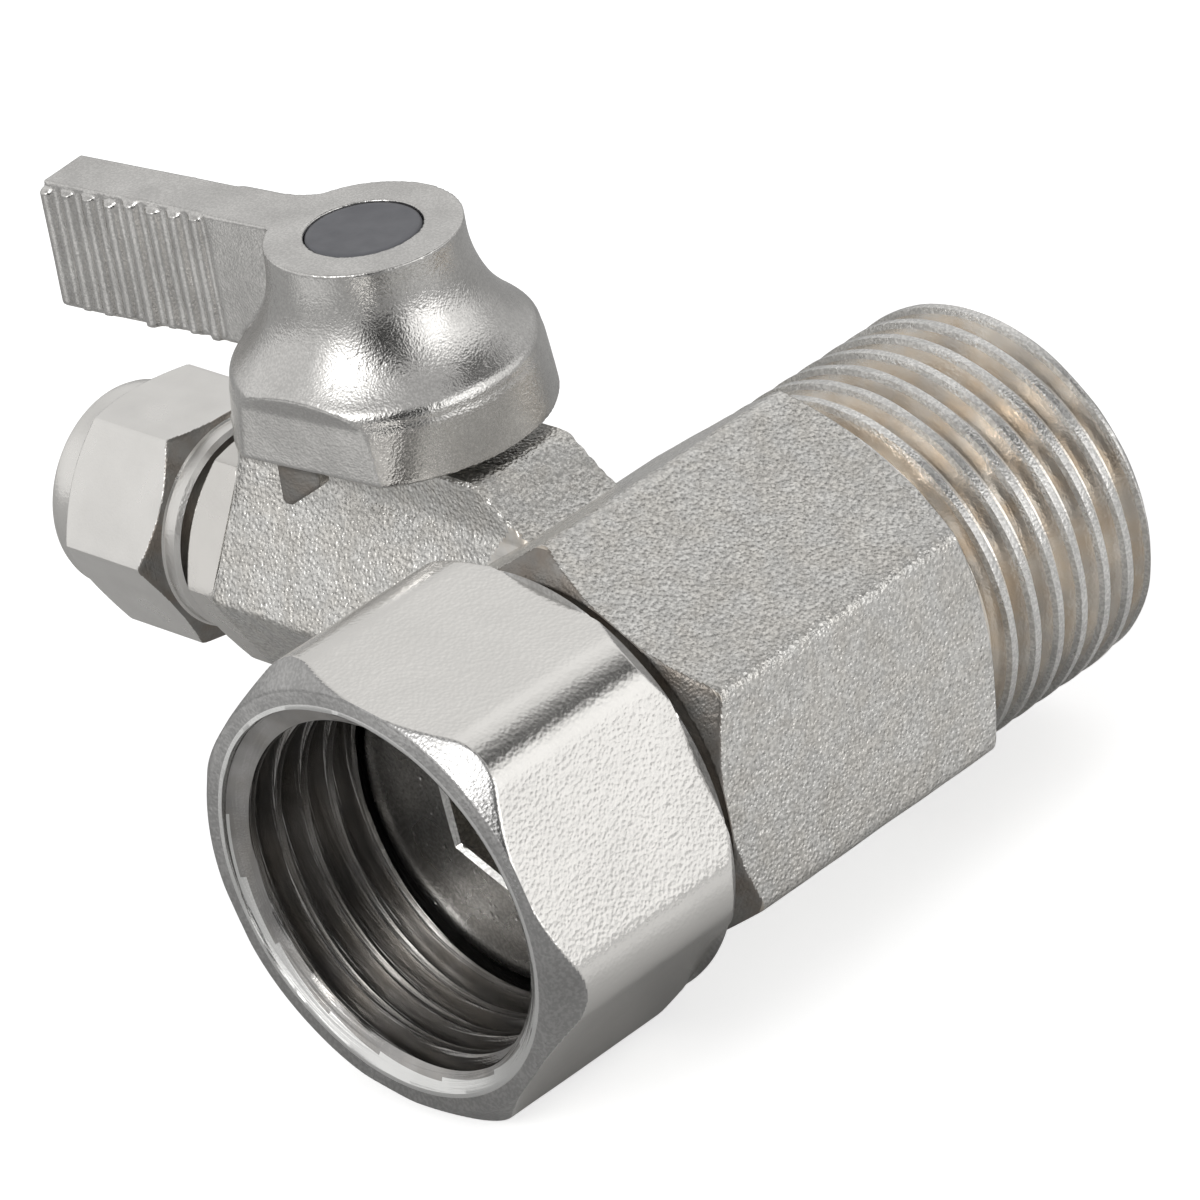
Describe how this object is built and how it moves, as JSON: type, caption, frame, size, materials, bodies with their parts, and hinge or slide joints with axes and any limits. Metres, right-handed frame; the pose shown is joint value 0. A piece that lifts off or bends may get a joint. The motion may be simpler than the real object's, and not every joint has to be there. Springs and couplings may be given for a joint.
{
  "type": "ball valve",
  "caption": "Tee adapter with a small lever ball valve on its side branch: swivel nut, male pipe thread and tube compression nut.",
  "frame": {"origin": "where the run's axis crosses the branch's axis, inside the body", "axes": "+Y along the run towards the male pipe thread, -Y towards the swivel nut, -X along the branch towards the compression nut, +Z along the stem towards the handle"},
  "size_m": [0.0558, 0.0466, 0.0328],
  "materials": {
    "body_nickel": "nickel-plated forging, bead-blasted and sparkly",
    "nut_nickel": "satin nickel plate over machined brass",
    "insert_nickel": "nickel plate with fine scratches",
    "connector_nickel": "satin nickel plate over machined brass",
    "rubber_black": "moulded black rubber",
    "seat_white": "moulded white seat plastic",
    "ball_chrome": "hard chrome, mirror polish",
    "stem_brass": "bare machined brass",
    "handle_zinc": "nickel-plated zinc casting, lightly pitted",
    "screw_steel": "zinc-plated steel",
    "cap_grey": "matt dark grey plastic plug",
    "ferrule_brass": "bare turned brass"
  },
  "bodies": {
    "body": {"valve_body": "body_nickel", "tail_insert": "insert_nickel", "tail_oring": "rubber_black", "swivel_washer": "rubber_black", "end_connector": "connector_nickel", "connector_oring": "rubber_black", "seat_inner": "seat_white", "seat_outer": "seat_white", "stem_washer": "seat_white"},
    "lever": {"handle": "handle_zinc", "handle_cap": "cap_grey", "handle_screw": "screw_steel", "handle_screw_washer": "screw_steel", "stem": "stem_brass", "stem_oring_lower": "rubber_black", "stem_oring_upper": "rubber_black", "ball": "ball_chrome"},
    "swivel": {"swivel_nut": "nut_nickel"},
    "ferrule_ring": {"ferrule": "ferrule_brass"},
    "gland_nut": {"compression_nut": "nut_nickel"}
  },
  "joints": [
    {"name": "lever_turn", "type": "hinge", "parent": "body", "child": "lever", "pos_m": [-0.02026, 0, 0], "axis": [0, 0, 1], "range_deg": [-90, 0]},
    {"name": "swivel_spin", "type": "hinge", "parent": "body", "child": "swivel", "pos_m": [0, -0.018, 0], "axis": [0, 1, 0], "continuous": true},
    {"name": "ferrule_slide", "type": "slide", "parent": "body", "child": "ferrule_ring", "axis": [-1, 0, 0], "range_m": [0, 0.003]},
    {"name": "gland_turn", "type": "hinge", "parent": "ferrule_ring", "child": "gland_nut", "pos_m": [-0.038, 0, 0], "axis": [-1, 0, 0], "range_deg": [0, 1080]}
  ],
  "couplings": [
    {"joint": "gland_turn", "follows": "ferrule_slide", "rad_per_m": 6283.2}
  ]
}
